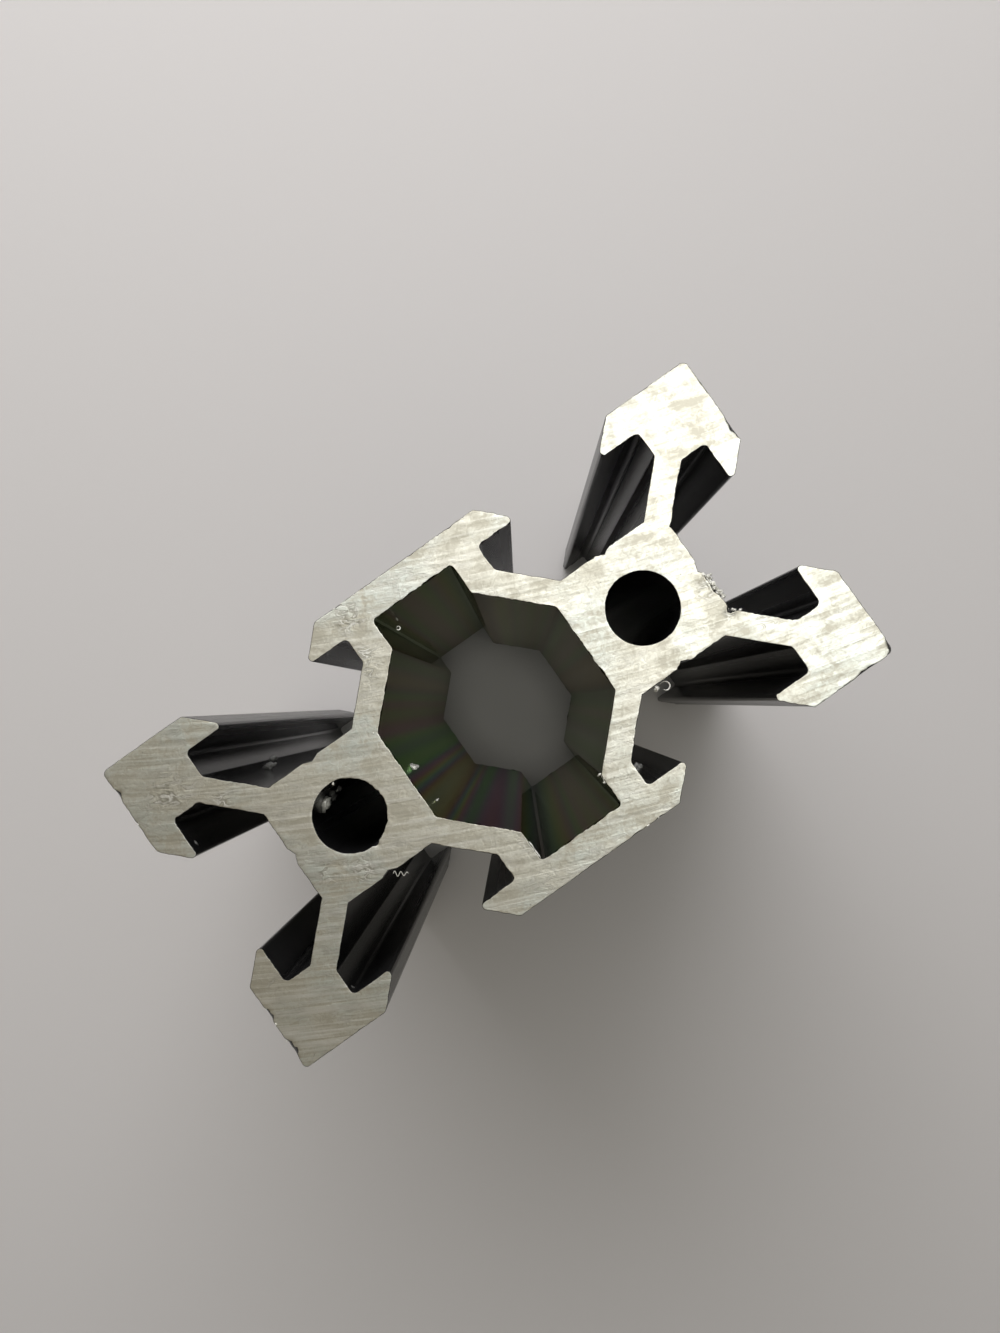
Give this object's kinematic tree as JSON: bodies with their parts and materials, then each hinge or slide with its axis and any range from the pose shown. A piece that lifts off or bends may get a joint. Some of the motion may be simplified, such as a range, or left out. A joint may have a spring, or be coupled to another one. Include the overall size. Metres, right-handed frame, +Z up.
{
  "type": "aluminium extrusion profile",
  "caption": "Short cut length of double-width V-slot aluminium framing extrusion with T-slots on every face, cored screw bores and a hollow middle.",
  "frame": {"origin": "middle of the lower sawn end, at the centre of the section", "axes": "+Z up along the length of the bar, X across its 40 mm width, Y across its 20 mm thickness"},
  "size_m": [0.04, 0.02, 0.05],
  "materials": {
    "anodised_aluminium": "satin black anodised outside and in the slots; the two sawn ends are bare bright aluminium with blade marks"
  },
  "bodies": {
    "root": {"extrusion_bar": "anodised_aluminium"}
  },
  "joints": []
}
